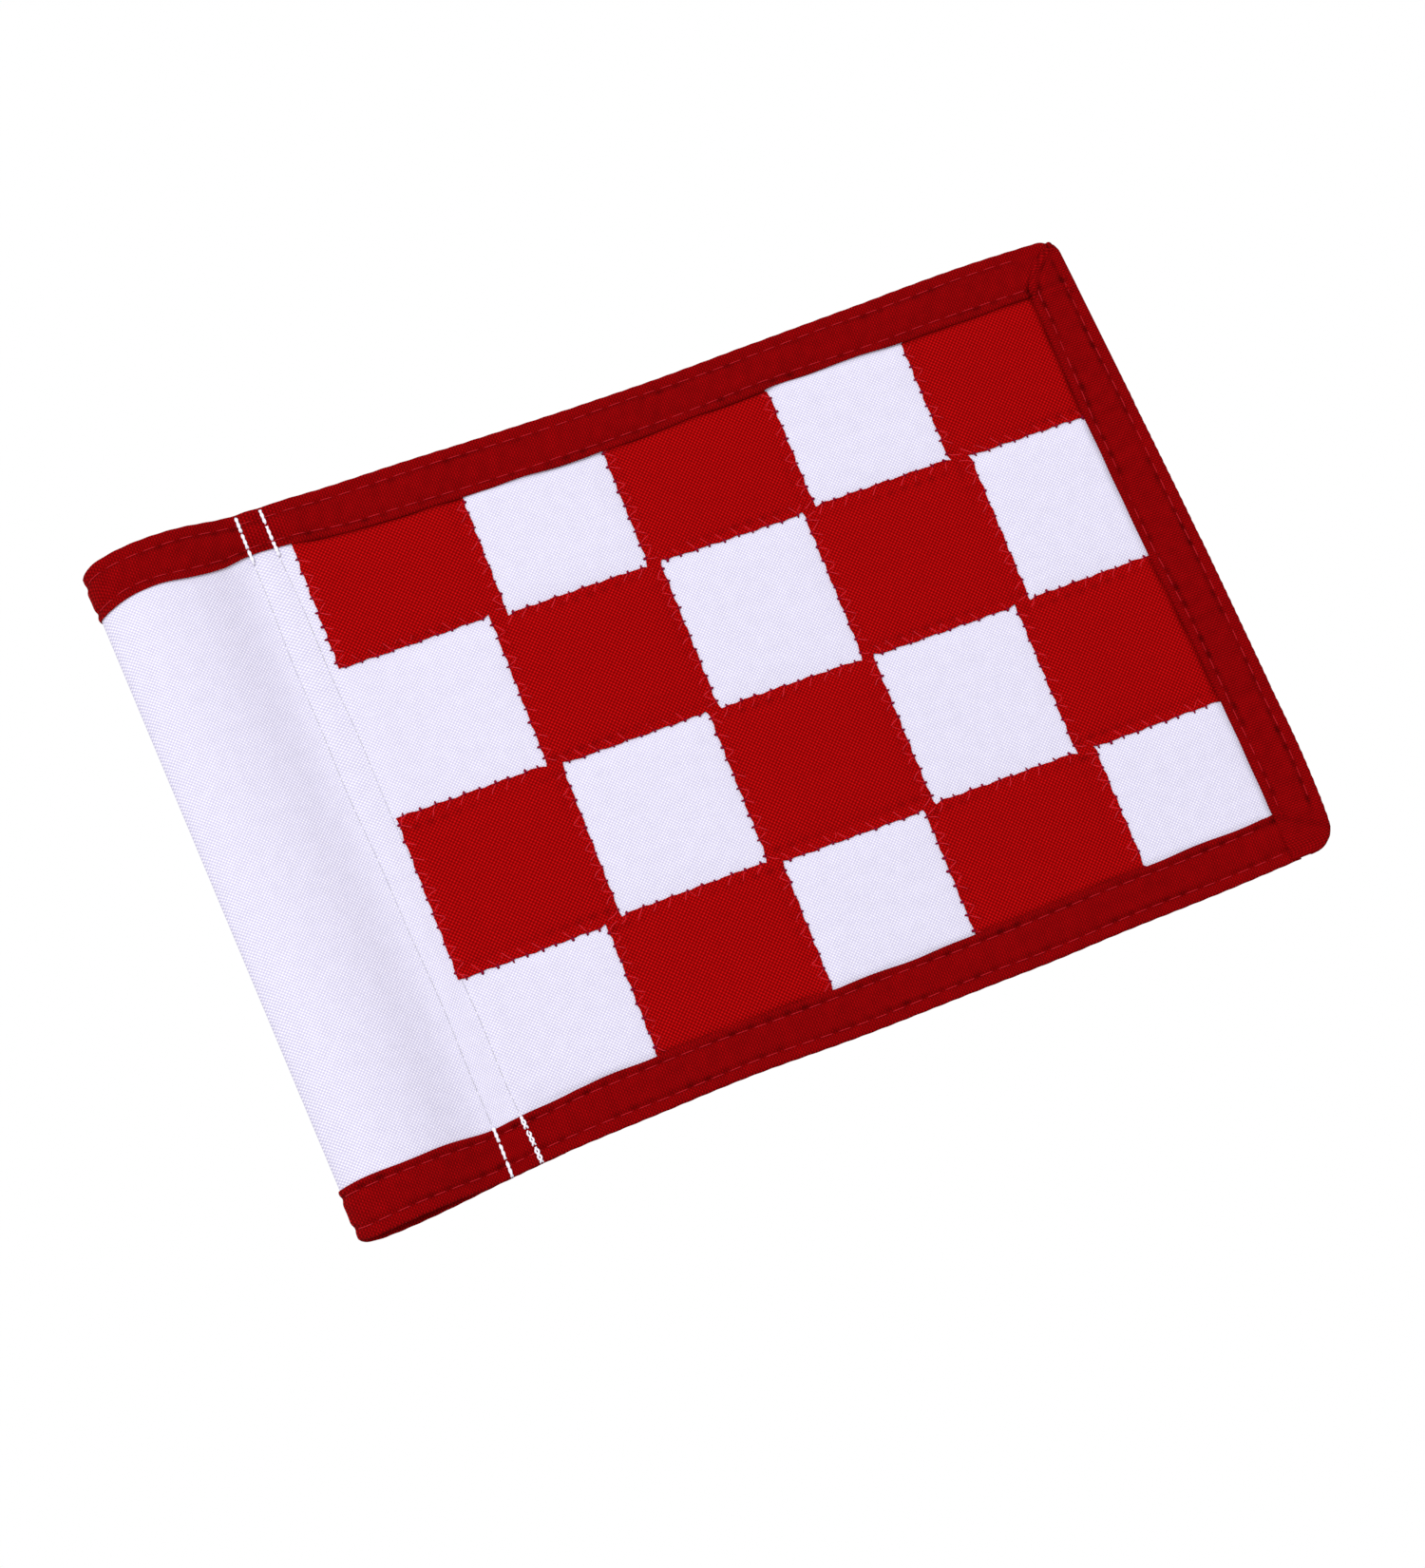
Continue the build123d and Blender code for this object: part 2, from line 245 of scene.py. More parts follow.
def groove(x, z):
    """From 0 to 1 where the field is drawn in along the tapes' inner edges."""
    edges = 0.8 * pulse(z, top_inner_z(x) - 0.35, 0.55) + 0.5 * pulse(z, bottom_inner_z(x) + 0.35, 0.55)
    edges = edges * (1 - smooth(x, FLY_INNER - 1, FLY_INNER + 1))
    uneven = 0.75 + 0.25 * np.sin(x / 2.3 + z / 3.1) * np.sin(x / 5.7 - z / 4.3)
    beside_fly = pulse(x, fly_inner_x(z) - 0.35, 0.6) * smooth(z, BINDING + 3, BINDING + 7)
    return smooth(x, ROW_2_X + 1, ROW_2_X + 6) * uneven * np.clip(edges + beside_fly, 0, 1)


def relief(x, z):
    """How far the field stands in front of its plane."""
    fade = smooth(x, ROW_2_X + 2, ROW_2_X + 30)
    wave = 0.9 * np.sin((x - 30) / 36 + 0.4) + 0.5 * np.sin(x / 17 + z / 40)
    allowance = 0.28 * (1 - smooth(x, ALLOWANCE_X - 5, ALLOWANCE_X + 2))
    dip = 0.12 * pulse(x, row_2_x(z), 0.8) + 0.12 * pulse(x, row_1_x(z), 0.8)
    swell = 0.15 * pulse(x, (row_1_x(z) + row_2_x(z)) / 2, 1.6)
    return (wave * fade + pillow(x, z) + allowance * smooth(x, ROW_2_X - 1, ROW_2_X + 3) - dip + swell
            - 0.30 * groove(x, z))


def wall_depth(t, z):
    """How far the sleeve's wall stands from its middle: wide at the mouths, pinched at the seam."""
    opening = WALL_DEPTH * (0.87 + 0.09 * np.cos(2 * math.pi * z / HEIGHT) + 0.03 * np.sin(z / 19))
    blunt = 0.98 - 0.16 * z / HEIGHT + 0.5 * smooth(t, 0.55, 1.0)
    return opening * np.sin(math.pi * np.clip(t, 0, 1) ** 0.66) ** blunt


def stack(z):
    """From the front layer to the back layer at the seam: thicker where both are taped."""
    return 0.32 + 0.68 * (1 - smooth(z, BINDING - 2, BINDING + 1.5)
                          + smooth(z, TOP_INNER - 1.5, TOP_INNER + 2))


def middle(s, z):
    """The middle of the cloth's thickness, as x, y and z."""
    s, z = np.broadcast_arrays(np.asarray(s, float), np.asarray(z, float))
    x = x_of(s, z)
    t = np.clip(np.abs(s) / S_CUSP, 0, 1)
    wall = wall_depth(t, z)
    front = -wall - relief(x, z) * smooth(t, 0.9, 1.0)
    back = wall + stack(z) * smooth(t, 0.0, 1.0) - 0.5 * relief(x, z) * smooth(t, 0.98, 1.02)
    return np.stack([x, np.where(s >= 0, front, back), z], -1)


def place(s, z, offset):
    """Points at an offset from the cloth's middle, and the cloth's outward direction there."""
    step = 0.05
    along = middle(s + step, z) - middle(s - step, z)
    up = middle(s, z + step) - middle(s, z - step)
    normal = np.cross(along, up)
    normal /= np.linalg.norm(normal, axis=-1, keepdims=True)
    return middle(s, z) + normal * np.asarray(offset, float)[..., None], normal


# -------- meshes
def add_object(name, data):
    obj = bpy.data.objects.new(name, data)
    bpy.context.scene.collection.objects.link(obj)
    return obj


def mark_points(obj, name, values):
    """Stores a number at each point, for the material."""
    layer = obj.data.attributes.new(name, "FLOAT", "POINT")
    layer.data.foreach_set("value", values.astype(np.float32).ravel())


def make_object(name, points, faces, uv, material, sharp_degrees=50):
    mesh = bpy.data.meshes.new(name)
    mesh.from_pydata((np.asarray(points) * MM).tolist(), [], [tuple(map(int, f)) for f in faces])
    mesh.update()
    layer = mesh.uv_layers.new(name="cloth")
    corner = np.empty(len(mesh.loops), np.int32)
    mesh.loops.foreach_get("vertex_index", corner)
    layer.data.foreach_set("uv", np.asarray(uv, np.float32)[corner].ravel())
    mesh.polygons.foreach_set("use_smooth", np.ones(len(mesh.polygons), bool))
    mesh.set_sharp_from_angle(angle=math.radians(sharp_degrees))
    mesh.materials.append(material)
    return add_object(name, mesh)


def thin_sheet(name, points, thickness, uv, material, furrow, keep=True):
    """A sheet of cloth over a grid of points, with cut edges. Furrow says how deep each point lies in a
    sewn furrow, from 0 to 1, for the material's painted shade there, and keep which of the grid's cells
    there are."""
    normal = np.cross(np.gradient(points, axis=1), np.gradient(points, axis=0))
    normal /= np.linalg.norm(normal, axis=-1, keepdims=True)
    rows, columns = points.shape[:2]
    keep = np.broadcast_to(keep, (rows - 1, columns - 1))
    index = np.arange(rows * columns).reshape(rows, columns)
    a, b = index[:-1, :-1][keep], index[:-1, 1:][keep]
    c, d = index[1:, 1:][keep], index[1:, :-1][keep]
    quads = np.stack([a, b, c, d], 1)
    points, normal, uv = points.reshape(-1, 3), normal.reshape(-1, 3), uv.reshape(-1, 2)
    used, flat = np.unique(quads, return_inverse=True)
    quads = flat.reshape(quads.shape)
    points, normal, uv = points[used], normal[used], uv[used]
    count = len(points)
    edges = np.concatenate([quads[:, [i, (i + 1) % 4]] for i in range(4)])
    key = edges.min(1) * count + edges.max(1)
    _, first, times = np.unique(key, return_index=True, return_counts=True)
    rim = edges[first[times == 1]]
    sides = np.stack([rim[:, 1], rim[:, 0], rim[:, 0] + count, rim[:, 1] + count], 1)
    faces = np.concatenate([quads, quads[:, ::-1] + count, sides])
    both = np.concatenate([points + normal * thickness / 2, points - normal * thickness / 2])
    obj = make_object(name, both, faces, np.tile(uv, (2, 1)), material)
    # The furrow mask drives the material's painted shade.
    mark_points(obj, "furrow", np.tile(np.clip(furrow, 0, 1).reshape(-1)[used], 2))
    return obj


def threads(name, s, z, offset, radius, material, sides=6):
    """Lengths of thread, one per row of the arrays, laid at an offset over the cloth."""
    points, normal = place(s, z, offset)
    number, steps = s.shape
    along = np.gradient(points, axis=1)
    along /= np.linalg.norm(along, axis=-1, keepdims=True)
    aside = np.cross(along, normal)
    aside /= np.linalg.norm(aside, axis=-1, keepdims=True)
    up = np.cross(aside, along)
    angle = np.arange(sides) * 2 * math.pi / sides
    ring = aside[:, :, None] * np.cos(angle)[:, None] + up[:, :, None] * np.sin(angle)[:, None]
    from_end = np.minimum(np.arange(steps), np.arange(steps)[::-1])
    thick = radius * np.clip(from_end + 0.45, 0, 1)
    skin = points[:, :, None] + ring * thick[:, :, None, None]
    index = np.arange(number * steps * sides).reshape(number, steps, sides)
    following = np.roll(index, -1, axis=2)
    tube = np.stack([index[:, :-1], index[:, 1:], following[:, 1:], following[:, :-1]], -1).reshape(-1, 4)
    caps = np.concatenate([index[:, 0], index[:, -1][:, ::-1]])
    faces = tube.tolist() + caps.tolist()
    paces = np.linalg.norm(np.diff(points, axis=1), axis=-1)
    run = np.concatenate([np.zeros((number, 1)), np.cumsum(paces, axis=1)], 1)
    uv = np.stack(np.broadcast_arrays(run[:, :, None], np.arange(sides) / sides), -1).reshape(-1, 2)
    obj = make_object(name, skin.reshape(-1, 3), faces, uv, material, sharp_degrees=80)
    # Painted shade: each length of thread is darker at its ends, where it goes into the needle holes.
    ends = np.clip(1.0 - 0.85 * from_end, 0, 1)[None, :, None]
    mark_points(obj, "ends", np.broadcast_to(ends, skin.shape[:3]))
    return obj


def lines_between(low, high, marks, spacing=GRID):
    """Grid lines from low to high, through the marks that lie between."""
    stops = [low] + sorted(m for m in set(marks) if low + 0.05 < m < high - 0.05) + [high]
    out = [low]
    for a, b in zip(stops, stops[1:]):
        out += list(np.linspace(a, b, max(1, round((b - a) / spacing)) + 1)[1:])
    return np.array(out)


# -------- materials
class Surface:
    """A material whose colour and bump are worked out from the place on the cloth."""

    def __init__(self, name, roughness, gloss):
        self.material = bpy.data.materials.new(name)
        self.material.use_nodes = True
        self.nodes = self.material.node_tree.nodes
        self.shader = self.nodes["Principled BSDF"]
        self.shader.inputs["Roughness"].default_value = roughness
        self.shader.inputs["Specular IOR Level"].default_value = gloss
        spot = self.nodes.new("ShaderNodeUVMap")
        spot.uv_map = "cloth"
        self.spot = spot.outputs["UV"]

    def link(self, out, socket):
        self.material.node_tree.links.new(out, socket)

    def math(self, kind, *values, clamp=False):
        node = self.nodes.new("ShaderNodeMath")
        node.operation = kind
        node.use_clamp = clamp
        for socket, value in zip(node.inputs, values):
            if isinstance(value, (int, float)):
                socket.default_value = value
            else:
                self.link(value, socket)
        return node.outputs[0]

    def noise(self, scale, detail):
        node = self.nodes.new("ShaderNodeTexNoise")
        self.link(self.spot, node.inputs["Vector"])
        node.inputs["Scale"].default_value = scale
        node.inputs["Detail"].default_value = detail
        return node.outputs["Fac"]

    def attribute(self, name):
        node = self.nodes.new("ShaderNodeAttribute")
        node.attribute_name = name
        return node.outputs["Fac"]

    def mix(self, share, first, second):
        node = self.nodes.new("ShaderNodeMix")
        node.data_type = "RGBA"
        node.inputs["A"].default_value = (*first, 1)
        node.inputs["B"].default_value = (*second, 1)
        self.link(share, node.inputs["Factor"])
        return node.outputs["Result"]

    def finish(self, colour, height, strength, distance):
        """Sets the colour and a bump, whose distance is in metres."""
        self.link(colour, self.shader.inputs["Base Color"])
        bump = self.nodes.new("ShaderNodeBump")
        bump.inputs["Strength"].default_value = strength
        bump.inputs["Distance"].default_value = distance
        self.link(height, bump.inputs["Height"])
        self.link(bump.outputs["Normal"], self.shader.inputs["Normal"])
        return self.material


def woven(name, thread, weave_highlight, pitch, roughness, gloss, bump, furrow_shade, ribs=0.0, unevenness=0.06):
    """Cloth whose threads cross every pitch millimetres. Its colour mixes two: the darker one as painted
    shade in the weave's low places, the lighter one as a painted highlight on its raised crossings. At
    the bottom of a sewn furrow painted shade makes it darker, by the share given after the bump, and ribs
    is how far apart its ribs are, if it has any."""
    cloth = Surface(name, roughness, gloss)
    split = cloth.nodes.new("ShaderNodeSeparateXYZ")
    cloth.link(cloth.spot, split.inputs[0])

    def wave(axis, length):
        return cloth.math("SINE", cloth.math("MULTIPLY", split.outputs[axis], 2 * math.pi / length))

    weave = cloth.math("MULTIPLY", wave("X", 2 * pitch), wave("Y", 2 * pitch))
    if ribs:
        ribbed = cloth.math("MULTIPLY", wave("X", ribs), 0.4)
        weave = cloth.math("ADD", ribbed, cloth.math("MULTIPLY", weave, 0.65))
    # Painted highlight on the weave's raised crossings, painted shade in its low places.
    raised = cloth.math("POWER", cloth.math("MULTIPLY_ADD", weave, 0.5, 0.5), 2.0)
    clouds, slubs = cloth.noise(0.35, 4), cloth.noise(2.2, 2)
    share = cloth.math("MULTIPLY", raised, cloth.math("ADD", slubs, 0.35))
    tone = cloth.nodes.new("ShaderNodeHueSaturation")
    cloth.link(cloth.mix(share, thread, weave_highlight), tone.inputs["Color"])
    # Painted shade: darker at the bottom of the sewn furrows.
    shade_factor = cloth.math("MULTIPLY_ADD", cloth.attribute("furrow"), -furrow_shade, 1.0)
    even = cloth.math("MULTIPLY_ADD", clouds, 2 * unevenness, 1 - unevenness)
    cloth.link(cloth.math("MULTIPLY", shade_factor, even), tone.inputs["Value"])
    height = cloth.math("ADD", weave, cloth.math("MULTIPLY", slubs, 0.6))
    return cloth.finish(tone.outputs["Color"], height, bump, 0.0001)


def twisted(name, colour, dark, ply=0.22):
    """Two-ply thread with painted shade: dark at its ends, where it goes into the needle holes, and
    darker by ply between its plies.
    """
    thread = Surface(name, roughness=0.55, gloss=0.06)
    turned = thread.nodes.new("ShaderNodeMapping")
    turned.inputs["Rotation"].default_value[2] = math.radians(40)
    thread.link(thread.spot, turned.inputs["Vector"])
    twist = thread.nodes.new("ShaderNodeTexWave")
    twist.inputs["Scale"].default_value = 0.55
    thread.link(turned.outputs["Vector"], twist.inputs["Vector"])
    plies = twist.outputs["Fac"]
    # Painted shade between the plies and at the needle holes.
    shade = thread.math("MULTIPLY_ADD", plies, ply, thread.attribute("ends"), clamp=True)
    return thread.finish(thread.mix(shade, colour, dark), plies, 0.5, 0.00008)


# Each cloth's colours: first in the weave's painted shade, then with its painted highlight.
WHITE = woven("white_nylon", (0.515, 0.492, 0.665), (0.98, 0.948, 0.975),
              pitch=0.40, roughness=0.85, gloss=0.1, bump=0.4, furrow_shade=0.14)
RED = woven("red_nylon", (0.14, 0.0002, 0.0003), (0.66, 0.0038, 0.005),
            pitch=0.46, roughness=0.9, gloss=0.02, bump=0.4, furrow_shade=0.55)
TAPE_RED = woven("red_tape", (0.105, 0.0002, 0.0005), (0.44, 0.0018, 0.0034),
                 pitch=0.40, roughness=0.9, gloss=0.02, bump=0.5, furrow_shade=0.62, ribs=0.55, unevenness=0.24)
# Each thread's own colour, then its colour in painted shade at the needle holes and between the plies.
WHITE_THREAD = twisted("white_thread", (0.86, 0.845, 0.93), (0.36, 0.33, 0.42), ply=0.10)
RED_THREAD = twisted("red_thread", (0.42, 0.008, 0.014), (0.07, 0.0, 0.002))
LEG_THREAD = twisted("zigzag_thread", (0.60, 0.018, 0.030), (0.16, 0.0, 0.004))
# The zigzag's loops, coloured darker than its legs as painted shade where the thread wraps the cut edge.
LOOP_SHADE_THREAD = twisted("loop_shade_thread", (0.21, 0.0, 0.020), (0.13, 0.0, 0.014))


# -------- the pieces
def zone_ends(zone, flat_low, flat_high):
    """How far along the cloth a zone runs. The zones meet halfway between the bends."""
    low = s_of(MIDS[zone - 1]) if zone else flat_low
    high = s_of(MIDS[zone]) if zone < COLUMNS - 1 else flat_high
    return low, high


def bend(obj, nodes):
    """Fixes the piece where it lies and hides the CAD parts that it replaces; nothing ties it to the two
    bodies that meet at its zone's bending line.
    """
    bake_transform(obj)
    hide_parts(*nodes)


def ride(obj, body, node):
    """The piece moves with one body."""
    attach(obj, body)
    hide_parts(node)


def full_height(x, nominal, inset):
    high = LINE_Z[0] + (nominal - LINE_Z[0]) / (HEIGHT - LINE_Z[0]) * (top_z(x) - inset - LINE_Z[0])
    low = LINE_Z[-1] - (LINE_Z[-1] - nominal) / LINE_Z[-1] * (LINE_Z[-1] - bottom_z(x) - inset)
    return np.where(nominal > LINE_Z[0], high, np.where(nominal < LINE_Z[-1], low, nominal))


def fall(past, radius):
    """How far a rounded corner falls away, past the start of its arc."""
    return radius - np.sqrt(radius ** 2 - np.clip(past, 0, radius) ** 2)


def fly_edge_x(z):
    """The fly tape's outer edge, with its rounded corners."""
    low, high = bottom_z(FLY_X), top_z(FLY_X)
    return fly_x(z) - fall(low + LOW_CORNER - z, LOW_CORNER) - fall(z - high + HIGH_CORNER, HIGH_CORNER)


def cloth_end_x(z):
    """Where the white and the red cloth end inside the fly tape, clear of its rounded corners."""
    within = np.clip(z, bottom_z(FLY_X) + 1.6, top_z(FLY_X) - 1.6)
    return fly_edge_x(within) - EDGE_INSET - 0.4


def cell_of(x, z):
    """The checker's column and row at a place, counted from the hoist and from the top."""
    column = sum((x > line).astype(int) for line in LINE_X[1:])
    row = ROWS - 1 - sum((z > line).astype(int) for line in LINE_Z)
    return column, row


# How far each hand-trimmed edge strays from the checker's line: for each upright line from the hoist,
# its rows from the top, and for each level line from the top, its columns from the hoist.
STRAY_X = [(1.1, 0, 0.1, -0.7), (0, -0.2, 0.2, 0.2), (0.5, 0.4, -0.3, 0), (-0.9, 1.1, 0.4, 1.8)]
STRAY_Z = [(1.1, -0.3, 0.3, 0.7, 0.4), (0.9, 0.4, -0.2, 0.2, 0.2), (-0.6, 0, -0.8, -0.4, -0.2)]


def strayed(moved, across, along, lines, ends, table):
    """Adds to moved how far the edge at each line strays, in each of its stretches between the ends."""
    fade, reach = 1.5, 7
    for line, strays in zip(lines, table):
        for number, stray in enumerate(strays):
            low, high = sorted(ends[number:number + 2])
            here = smooth(along, low - fade, low + fade) * (1 - smooth(along, high - fade, high + fade))
            moved = moved + stray * here * pulse(across, line, reach)
    return moved


def cut_edge(x, z):
    """The red cloth was trimmed by hand: its edges waver and its window corners are rounded."""
    moved_x = 0.12 * np.sin(z * 1.1 + x) + 0.07 * np.sin(z * 2.3 + 2 * x)
    moved_z = 0.10 * np.sin(x * 0.9 + z) + 0.07 * np.sin(x * 2.1 + 2 * z)
    levels, lines = [HEIGHT] + LINE_Z + [0], [0] + LINE_X[1:] + [FLY_X]
    moved_x = strayed(moved_x, x, z, LINE_X[1:], levels, STRAY_X)
    moved_z = strayed(moved_z, z, x, LINE_Z, lines, STRAY_Z)
    round_off, reach = 0.45, 1.1
    for column, line in enumerate(LINE_X[1:]):
        for row, level in enumerate(LINE_Z):
            lean = 1 if (column + row) % 2 else -1
            for side in (-1, 1):
                corner_x, corner_z = line + side * LAP_X, level + side * lean * LAP_Z
                near = np.exp(-(((x - corner_x) / reach) ** 2) - ((z - corner_z) / reach) ** 2)
                moved_x = moved_x + round_off * side * near
                moved_z = moved_z + round_off * side * lean * near
    return x + moved_x, z + moved_z


def is_red(x, z):
    """Whether the red cloth is there: its squares lap over the checker's lines on every side."""
    here = np.zeros(np.shape(x), bool)
    for dx in (-LAP_X, LAP_X):
        for dz in (-LAP_Z, LAP_Z):
            column, row = cell_of(x + dx, z + dz)
            here |= (column + row) % 2 == 0
    return here & (x > RED_LEFT_X)


# The ends of the checker's cells as red squares fill them, out of sight under the tapes.
LEFTS = [RED_LEFT_X] + [line - LAP_X for line in LINE_X[1:]]
RIGHTS = [line + LAP_X for line in LINE_X[1:]] + [FLY_INNER + 1.5]
HIGHS = [TOP_INNER + 1.5] + [line + LAP_Z for line in LINE_Z]
LOWS = [line - LAP_Z for line in LINE_Z] + [BINDING + 3]

# Where the grid needs lines, for the squares and the windows behind them to have straight edges.
MARKS_X = LEFTS + RIGHTS[:-1] + [left + SEWN for left in LEFTS] + [right - SEWN for right in RIGHTS]
MARKS_Z = (HIGHS[1:] + LOWS[:-1] + [high - SEWN for high in HIGHS] + [low + SEWN for low in LOWS]
           + [high + SEWN for high in HIGHS[1:]] + [low - SEWN for low in LOWS[:-1]])


def is_window(x, z):
    """Whether the white cloth is cut away behind a red square."""
    column, row = cell_of(x, z)
    left, right = np.array([LEFTS, RIGHTS])[:, column]
    high, low = np.array([HIGHS, LOWS])[:, row]
    inside = (x > left + SEWN) & (x < right - SEWN) & (z > low + SEWN) & (z < high - SEWN)
    return inside & ((column + row) % 2 == 0)


def cell_centres(grid):
    return (grid[:-1, :-1] + grid[1:, 1:]) / 2


def ruled(stops, spacings, marks):
    """Grid lines from the first stop to the last, with a spacing for each stretch between two stops."""
    stretches = [lines_between(low, high, marks, spacing)[1:]
                 for low, high, spacing in zip(stops, stops[1:], spacings)]
    return np.concatenate([[stops[0]]] + stretches)


S_BACK = -(ALLOWANCE_X - FOLD_X)
Z_LINES = ruled([0, BINDING, BINDING + 6, TOP_INNER - 3, TOP_INNER + 2.5, HEIGHT],
                [GRID, NARROW_GRID, GRID, NARROW_GRID, GRID], MARKS_Z)


def s_lines(low, high):
    """Grid lines along the cloth, finer at the sleeve's fold and beside the fly tape's inner edge."""
    marks = [0] + [s_of(mark) for mark in MARKS_X]
    fly = s_of(FLY_INNER)
    if low < -FOLD_REACH:
        return ruled([low, -FOLD_REACH, FOLD_REACH, high], [GRID, FOLD_GRID, GRID], marks)
    if high > fly:
        return ruled([low, fly - 3, high], [GRID, NARROW_GRID], marks)
    return lines_between(low, high, marks)


def make_white(zone):
    s, nominal = np.meshgrid(s_lines(*zone_ends(zone, S_BACK, s_of(FLY_X))), Z_LINES)
    x = x_of(s, nominal)
    z = full_height(x, nominal, EDGE_INSET)
    if zone == COLUMNS - 1:  # the last strip's end follows the leaning fly edge
        share = smooth(s, s_of(FLY_X) - FLY_BINDING, s_of(FLY_X))
        s = s + share * (cloth_end_x(z) - FLY_X)
    back_end = 1 - smooth(s, S_BACK, S_BACK + 3)
    s = s + back_end * (0.25 * np.sin(z * 0.9) + 0.12 * np.sin(z * 3.1))
    keep = ~(is_window(cell_centres(s) + FOLD_X, cell_centres(nominal)) & (cell_centres(s) > 0))
    points = middle(s, z)
    # Painted shade where the field is drawn in along the tapes, on the front only.
    furrow = groove(x_of(s, z), z) * (s > 0)
    obj = thin_sheet(f"white_cloth_{zone}", points, CLOTH, np.stack([s, z], -1), WHITE, furrow, keep)
    nodes = [f"white_cloth_c{zone + 1}"] + (["sleeve_cloth", "seam_allowance"] if zone == 0 else [])
    bend(obj, nodes)


def needle_hole_shade(x, z):
    """From 0 to 1 at the zigzag's inner needle holes, where the red cloth is drawn in: a mask for painted
    shade only, as the mesh is not moved by it.
    """
    out = np.zeros(np.shape(x))
    for number, line in enumerate(LINE_X[1:]):
        tight = 0.5 + 0.5 * np.sin(z / 5.3 + 2 * number)
        run = np.cos(math.pi * z / ZIGZAG_PITCH + number) ** 2 * tight
        out = out + 0.5 * run * pulse(np.abs(x - line), ZIGZAG_BITE - LAP_X, 0.55)
    for number, level in enumerate(LINE_Z):
        tight = 0.6 + 0.4 * np.sin(x / 6.1 + 2 * number)
        run = np.cos(math.pi * x / ZIGZAG_PITCH + number) ** 2 * tight
        out = out + run * pulse(np.abs(z - level), ZIGZAG_BITE - LAP_Z, 0.6)
    return np.clip(out, 0, 1)


def make_red(zone):
    s, nominal = np.meshgrid(s_lines(*zone_ends(zone, S_RED, s_of(FLY_X))), Z_LINES)
    x = s + FOLD_X
    z = full_height(x, nominal, EDGE_INSET)
    keep = is_red(cell_centres(x), cell_centres(nominal))
    inner = (nominal > BINDING) & (nominal < TOP_INNER)
    cut_x, cut_z = cut_edge(x, z)
    x = np.where(inner, cut_x, x)
    z = np.where(inner, cut_z, z)
    if zone == COLUMNS - 1:
        x = x + smooth(x, FLY_INNER, FLY_X) * (cloth_end_x(z) - FLY_X)
    points, _ = place(s_of(x), z, np.full(x.shape, RED_OFFSET))
    # Painted shade along the tapes and at the zigzag's inner needle holes.
    furrow = groove(x, z) + 0.55 * needle_hole_shade(x, z)
    obj = thin_sheet(f"red_cloth_{zone}", points, CLOTH, np.stack([x, z], -1), RED, furrow, keep)
    nodes = [f"red_square_r{row}_c{zone + 1}" for row in range(1, ROWS + 1) if (row + zone + 1) % 2 == 0]
    bend(obj, nodes)


def under_tape(x, top):
    """How much the red cloth lifts the tape, at the upper or the lower edge."""
    lift = np.zeros(np.shape(x))
    edges = [RED_LEFT_X] + LINE_X[1:] + [FLY_X + 10]
    for column, (left, right) in enumerate(zip(edges, edges[1:])):
        if (column % 2 == 0) == top:
            left_lap = 0 if column == 0 else LAP_X
            lift = lift + smooth(x, left - left_lap - 2.2, left - left_lap + 0.6) * (
                1 - smooth(x, right + LAP_X - 0.6, right + LAP_X + 2.2))
    return RED_OFFSET * np.clip(lift, 0, 1)


def calm(along):
    """From 1 to 0 near the places where two zones meet, where the tape's ripples die away."""
    return 1 - sum(pulse(along, s_of(mid), 1.3) for mid in MIDS)


def needle_holes(along):
    """1 at the needle holes of the tape's rows, and 0 halfway between them."""
    return 0.5 + 0.5 * np.cos(2 * math.pi * along / BINDING_PITCH)


def stitch_dip(distance, along, row):
    """The tape sinks along a row of stitches, most of all at the needle holes."""
    hole = needle_holes(along) * calm(along)
    return (0.17 + 0.13 * hole ** 3) * pulse(distance, row, 0.7)


def row_furrow(distance, along, row, inward):
    """From 0 to 1 in the furrow that runs beside a row of stitches, on its inner or outer side, where
    shade is painted.
    """
    beside = row + inward * (0.45 + 0.15 * np.sin(along / 4.7))
    fresh = 0.55 + 0.45 * np.sin(along / 7.3 + 1.3 * row) * np.sin(along / 3.9)
    deep = (0.35 + 0.65 * needle_holes(along) ** 2) * fresh
    return np.clip(deep, 0, 1) * pulse(distance, beside, 0.5)


def pucker(along, distance, width):
    """Between its rows of stitches the tape stands up in small slanting ripples."""
    between = smooth(distance, 2.4, 4) * (1 - smooth(distance, width - 3.6, width - 2))
    edge = smooth(distance, width - 1.6, width - 0.9) * (1 - smooth(distance, width - 0.5, width + 0.1))
    ripples = np.sin(2 * math.pi * (along + 0.5 * distance) / BINDING_PITCH + np.sin(along / 9))
    swell = 0.09 * np.sin(along / 6.1 + distance / 3) + 0.05 * np.sin(along / 2.3 - distance / 1.7)
    return between * (0.14 + 0.10 * ripples * calm(along)) + 0.12 * edge + swell * smooth(distance, 0, 2)


def tape_dip(distance, along, width):
    """How far a leaf of tape lies below its level: along its stitches, less its ripples, and never so
    far that the cloth inside would show through."""
    rows = stitch_dip(distance, along, OUTER_ROW) + stitch_dip(distance, along, width - INNER_ROW)
    return np.minimum(rows - pucker(along, distance, width), DEEPEST_DIP)


